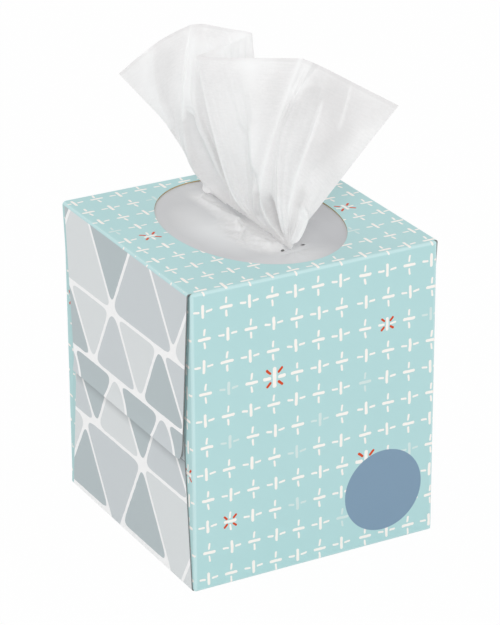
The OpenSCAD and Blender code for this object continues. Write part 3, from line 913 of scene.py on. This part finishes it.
# Left of the slit the film is pushed up: how far its crest and its foot lie along Y
CREST = ([-34, -28, -20.5, -13.5, -8, 2.5, 7.3, 13.8, 22.2, 31, 34],
         [0.1, -1.4, -4.2, -5.6, -5.0, -2.1, -2.5, -3.9, -4.9, -4.4, -1.3])
FOOT = ([-36, -31.5, -25.5, -21.4, -18, -12.4, -5.2, 5.6, 13.6, 21.3, 31, 34],
        [-3.2, -8.6, -12.6, -13.6, -13.1, -14.5, -14.2, -11.1, -8.4, -8.2, -7.2, -3.6])
# How high the crest stands and how far left of the slit its inner slope ends, the height
# and width of the lip on the right, how far the film sags, and how big its small waves are
CREST_H, CREST_END, LIP_H, LIP_W, SAG, RIPPLE = 1.55, 0.9, 0.9, 3.2, 0.35, 0.13
# Puckers as two ends, height and width
PUCKERS = [(-4.4, 0.5, -6.6, -6.6, 1.0, 0.8), (-5.0, -7.6, -11.2, -15.4, 1.1, 0.7),
           (-9.0, -19.0, -4.6, -26.0, 0.6, 0.9), (-9.5, -26.5, -4.0, -25.5, 0.5, 0.8),
           (-1.2, -25.5, -0.6, -30.0, 0.9, 0.9), (-10.5, 3.5, -7.5, -1.0, 0.3, 1.5),
           (-13.5, -11.0, -12.5, -19.0, 0.25, 1.0), (-6.5, 11.0, -8.5, 3.0, 0.25, 1.2)]
# A dimple left of the slit, as place, half widths and depth
DIMPLE = (-9.3, -4.5, 2.4, 3.0, 0.6)
# The raised crease between the holes: where it turns, how much it is bent, its width, and
# its middle and half its length along X
HOLE_CREASE = (0.6, -34.7, 0.03, 0.75, 2.2, 3.6)
# A slanted wrinkle on the right, as place, slant, width and height
WRINKLE = (26, -18, 0.45, 3.0, 0.35)
# Wrinkles out of the slit's ends: their height, where it is highest, spread and pace
END_WRINKLES = (0.2, 7, 8, 7)
# Slack over the opening, as waves: their size, pace along X and Y, and phase
FILM_SLACK = [(0.16, 0.17, 0.05, 0.0), (0.1, -0.12, 0.3, 1.0)]
# Steps of the film's mesh from its edge to the slit and along Y, and how far each side's lip
# lies from the slit's middle: the left one runs past it, into the tissue's foot
STEPS_OUT, STEPS_ALONG = 75, 300
LIPS = [(-1, -0.6), (1, 0.5)]


def film_height(x, y):
    """How far the film lies above or below its flat place."""
    rim = 1 - ((x - OPENING_X) / (OPENING_W / 2 - 1)) ** 2 - (y / (OPENING_D / 2 - 1)) ** 2
    inside = np.clip(rim * 2.2, 0, 1)
    inside = inside * inside * (3 - 2 * inside)
    across, along = x - SLIT_X, (y - SLIT_Y) / (SLIT_L / 2)
    near = np.clip(1 - np.abs(along) ** 6, 0, 1)
    right = np.exp(-np.clip(across, 0, None) / LIP_W) * (across > 0)
    lift = LIP_H * near * right - SAG * inside
    # the crest beside the slit, dipping towards the tissue and falling away outwards
    crest, foot = np.interp(y, *CREST), np.interp(y, *FOOT)
    inner = SLIT_X - CREST_END
    inward = np.clip((inner - x) / (inner - crest), 0, 1)
    outward = np.clip((x - foot) / (crest - foot), 0, 1)
    hump = np.where(x > crest, inward ** 1.6, outward ** 1.8) * near * (across < 0)
    loose = np.clip((x - foot + 1.5) / 3, 0, 1) * near * (across < -1.2)
    lift += CREST_H * hump
    for x0, y0, x1, y1, height, width in PUCKERS:
        dx, dy = x1 - x0, y1 - y0
        k = np.clip(((x - x0) * dx + (y - y0) * dy) / (dx * dx + dy * dy), 0, 1)
        away = np.hypot(x - x0 - k * dx, y - y0 - k * dy)
        lift += height * np.exp(-(away / width) ** 2) * (across < -0.8)
    dimple_x, dimple_y, half_x, half_y, depth = DIMPLE
    lift -= depth * np.exp(-(((x - dimple_x) / half_x) ** 2 + ((y - dimple_y) / half_y) ** 2))
    ripple = np.sin(1.1 * x + 0.7 * y + 1.4 * np.sin(0.31 * y)) + 0.6 * np.sin(2.3 * y - 0.9 * x)
    lift += RIPPLE * loose * ripple
    turn_x, turn_y, bow, width, middle, half = HOLE_CREASE
    bend = y - turn_y - bow * (x - turn_x) ** 2
    lift += np.exp(-(bend / width) ** 2) * np.exp(-((x - middle) / half) ** 4)
    height, peak, spread, pace = END_WRINKLES
    for end in (-1, 1):
        past = y - SLIT_Y - end * SLIT_L / 2
        angle, reach = np.arctan2(past, across), np.hypot(across, past)
        lift += height * np.exp(-((reach - peak) / spread) ** 2) * np.sin(angle * pace + end)
    for size, pace_x, pace_y, phase in FILM_SLACK:
        lift += size * inside * np.sin(pace_x * x + pace_y * y + phase)
    at_x, at_y, slant, width, height = WRINKLE
    lift += height * inside * np.exp(-((x - at_x + slant * (y - at_y)) / width) ** 2)
    return lift * np.clip(rim * 6, 0, 1)


def film_piece():
    """Points and faces of the film, in two halves that meet before and behind the slit."""
    end = OPENING_D / 2 + GLUED_Y
    rows = np.linspace(-end, end, STEPS_ALONG + 1)
    opened = np.clip(1 - np.abs((rows - SLIT_Y - 0.3) / (SLIT_L / 2 - 0.3)) ** 5, 0, None)
    # steps are closer together near the slit
    crowd = 1 - (1 - np.linspace(0, 1, STEPS_OUT + 1)) ** 1.5
    points, faces = [], []
    for sign, gap in LIPS:
        edge = OPENING_X + sign * (OPENING_W / 2 + GLUED_X)
        lip = SLIT_X + sign * gap * opened ** 0.5
        x = edge + (lip - edge)[:, None] * crowd[None, :]
        y = np.repeat(rows[:, None], x.shape[1], axis=1)
        quads = grid_faces(*x.shape)[:, ::-sign]
        keep = np.ones(len(quads), bool)
        for hole_x, hole_y, radius in HOLES:
            if (hole_x - SLIT_X) * sign > 0:
                away = np.hypot(x - hole_x, y - hole_y)
                cut = away.ravel()[quads].max(axis=1) < radius * 1.25
                keep &= ~cut
                # the hole's ragged rim is drawn onto a circle
                rim = np.zeros(x.size, bool)
                rim[np.intersect1d(quads[cut], quads[~cut])] = True
                scale = np.where(rim.reshape(x.shape), radius / np.maximum(away, 1e-6), 1)
                x, y = hole_x + (x - hole_x) * scale, hole_y + (y - hole_y) * scale
        z = FILM_Z + film_height(x, y)
        faces += (quads[keep] + len(points)).tolist()
        points += np.stack([x, y, z], axis=2).reshape(-1, 3).tolist()
    return points, faces


def film_look():
    look = Look("film_dressed")
    place = look.place()
    x, y, _ = look.split(place)
    haze = look.noise(place, 0.05, 2.0)

    def oval(centre, half, raggedness, edge, soft):
        """1 in an oval with a ragged, soft edge."""
        away = length((x - centre[0]) / half[0], (y - centre[1]) / half[1])
        return below(away + haze * raggedness, edge, soft)

    # painted light where the pack lies close beneath it, and painted shade far to the right, where
    # the standing tissue shades it
    close_pack_light = oval((-14.5, -2.0), (9.5, 21.0), 0.5, 1.15, 1.3)
    far = above(x + haze * 8.0, 17.0, 14.0)
    tint = look.mix(rgb(219, 220, 222), rgb(249, 250, 251), close_pack_light)
    tint = look.mix(tint, rgb(206, 207, 210), far)
    # painted highlight where it bends up to the front of the opening
    front_highlight = oval((-3.0, -41.0), (17.0, 9.0), 0.4, 1.1, 1.0)
    tint = look.mix(tint, rgb(244, 245, 246), front_highlight * 0.5)
    # neutral where the next tissue lies against it, with painted highlights on its crumples,
    # and painted light beside the slit, where the film dips into shade
    touch = oval((-5.0, -13.0), (9.0, 20.0), 0.3, 1.15, 0.4)
    crumple_highlights = above(look.noise(place, 0.6, 2.0, 0.6), 0.5, 0.5)
    tint = look.mix(tint, look.mix(rgb(237, 237, 238), rgb(251, 251, 251), crumple_highlights), touch)
    slit_light = below(abs(x + 2.6 + haze * 2.0), 3.6, 4.0) * below(abs(y - 3.0), 34.0, 8.0)
    tint = look.mix(tint, rgb(255, 255, 255), slit_light * 0.75)
    look.set(Base_Color=tint, Roughness=0.36 + haze * 0.12, Alpha=0.86, Specular_IOR_Level=0.4)
    look.bump(look.noise(place, 0.5, 2.0), 0.08, 0.5)
    return look.material


film = mesh_piece("film_sheet", *film_piece(), film_look())
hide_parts("window_film")


# Stage, light and camera. From here on, lengths are in metres.

FLOOR_HALF, FLOOR_DROP = 9.0, 0.0001
# How much of the floor the camera sees as plain white, and how bright the world is
FLOOR_WHITE, WORLD_LIGHT = 0.97, 0.71
# Lamps as name, place, target, size and power
LAMPS = [("key", (-1.15, -2.15, 1.8), (0, 0, 0.1), 1.1, 21),
         ("fill", (1.6, -2.4, 0.9), (0, 0, 0.1), 1.4, 5),
         ("back", (-0.7, 2.2, 1.3), (0, 0, 0.15), 1.2, 7)]
# The camera, solved from the photo's carton edges
CAMERA_PLACE, LENS, SENSOR_W = (-0.53722108, -0.98394758, 0.58092842), 175.197, 36
CAMERA_RIGHT = Vector((0.87636589, -0.48162685, -0.00428931))
CAMERA_DOWN = Vector((-0.19764576, -0.35148557, -0.91509237))
CAMERA_AHEAD = Vector((0.43922543, 0.80280351, -0.40322147))


def seen_share(tree):
    """1 for rays from the camera, also by way of a gloss or through a clear piece."""
    path = tree.nodes.new("ShaderNodeLightPath")
    camera, glossy, through = (Num(tree, path.outputs[f"Is {kind} Ray"])
                               for kind in ("Camera", "Glossy", "Transmission"))
    return calc("ADD", camera + glossy, through, clamp=True)


def floor_look():
    look = Look("floor")
    speck = look.noise(look.place(), 0.01, 2.0)
    look.set(Base_Color=look.mix(rgb(244, 244, 244), rgb(248, 248, 248), speck),
             Roughness=0.9, Specular_IOR_Level=0.0)
    white = look.node("ShaderNodeEmission", Strength=1.0)
    look.overlay(white, seen_share(look.tree) * FLOOR_WHITE)
    return look.material


def floor_piece():
    mesh = bpy.data.meshes.new("floor")
    corners = [(x * FLOOR_HALF, y * FLOOR_HALF, 0) for x, y in ((-1, -1), (1, -1), (1, 1), (-1, 1))]
    mesh.from_pydata(corners, [], [(0, 1, 2, 3)])
    mesh.materials.append(floor_look())
    piece = bpy.data.objects.new("floor", mesh)
    piece.location.z = -FLOOR_DROP
    bpy.context.scene.collection.objects.link(piece)
    return piece


def light_world(strength):
    """An even white world, which the camera sees as white whatever its strength."""
    world = bpy.data.worlds.new("studio")
    bpy.context.scene.world = world
    world.use_nodes = True
    tree = world.node_tree
    back = tree.nodes["Background"]
    back.inputs["Color"].default_value = (1, 1, 1, 1)
    feed(tree, back.inputs["Strength"], switch(seen_share(tree), strength, 1))


def area_lamp(name, place, target, size, power):
    data = bpy.data.lights.new(name, "AREA")
    data.shape, data.size, data.energy = "DISK", size, power
    lamp = bpy.data.objects.new(name, data)
    lamp.location = place
    lamp.rotation_euler = (Vector(target) - Vector(place)).to_track_quat("-Z", "Y").to_euler()
    bpy.context.scene.collection.objects.link(lamp)


def set_camera():
    data = bpy.data.cameras.new("camera")
    data.sensor_width, data.lens = SENSOR_W, LENS
    data.clip_start, data.clip_end = 0.05, 30
    camera = bpy.data.objects.new("camera", data)
    turn = Matrix((CAMERA_RIGHT, -CAMERA_DOWN, -CAMERA_AHEAD)).transposed().to_4x4()
    camera.matrix_world = Matrix.Translation(CAMERA_PLACE) @ turn
    bpy.context.scene.collection.objects.link(camera)
    bpy.context.scene.camera = camera


floor = floor_piece()
light_world(WORLD_LIGHT)
for lamp in LAMPS:
    area_lamp(*lamp)
set_camera()
bpy.context.scene.view_settings.view_transform = "Standard"
